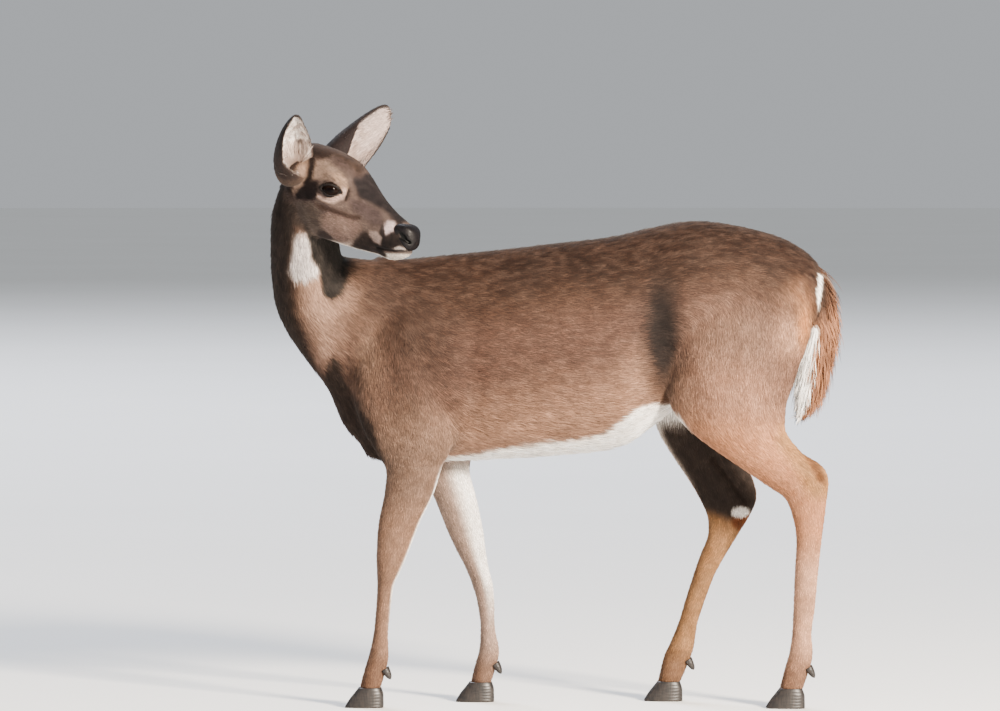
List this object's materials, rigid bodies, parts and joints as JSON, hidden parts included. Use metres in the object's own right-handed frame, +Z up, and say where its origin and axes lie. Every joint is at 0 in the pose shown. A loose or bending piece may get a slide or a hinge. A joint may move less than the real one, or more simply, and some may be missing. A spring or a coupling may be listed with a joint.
{
  "type": "standing deer",
  "caption": "Life-size doe with a grey-brown winter coat, standing on flat hooves with her head turned back over one shoulder.",
  "frame": {"origin": "floor level under the middle of the plan outline", "axes": "+Z up, -X towards the breast, -Y towards the left flank, over which the head looks back"},
  "size_m": [1.0532, 0.4406, 1.111],
  "materials": {
    "coat": "short dense winter hair",
    "face_coat": "very short hair",
    "ear_coat": "short soft hair",
    "tail_coat": "long hair",
    "eye": "wet gloss",
    "horn": "satin horn"
  },
  "bodies": {
    "root": {"dewclaw_foreleg_left_inner": "horn", "dewclaw_foreleg_left_outer": "horn", "dewclaw_foreleg_right_inner": "horn", "dewclaw_foreleg_right_outer": "horn", "dewclaw_hindleg_left_inner": "horn", "dewclaw_hindleg_left_outer": "horn", "dewclaw_hindleg_right_inner": "horn", "dewclaw_hindleg_right_outer": "horn", "ear_left": "ear_coat", "ear_right": "ear_coat", "eye_left": "eye", "eye_right": "eye", "foreleg_left": "coat", "foreleg_right": "coat", "head": "face_coat", "hindleg_left": "coat", "hindleg_right": "coat", "hoof_foreleg_left_inner": "horn", "hoof_foreleg_left_outer": "horn", "hoof_foreleg_right_inner": "horn", "hoof_foreleg_right_outer": "horn", "hoof_hindleg_left_inner": "horn", "hoof_hindleg_left_outer": "horn", "hoof_hindleg_right_inner": "horn", "hoof_hindleg_right_outer": "horn", "neck": "coat", "tail": "tail_coat", "trunk": "coat"}
  },
  "joints": []
}
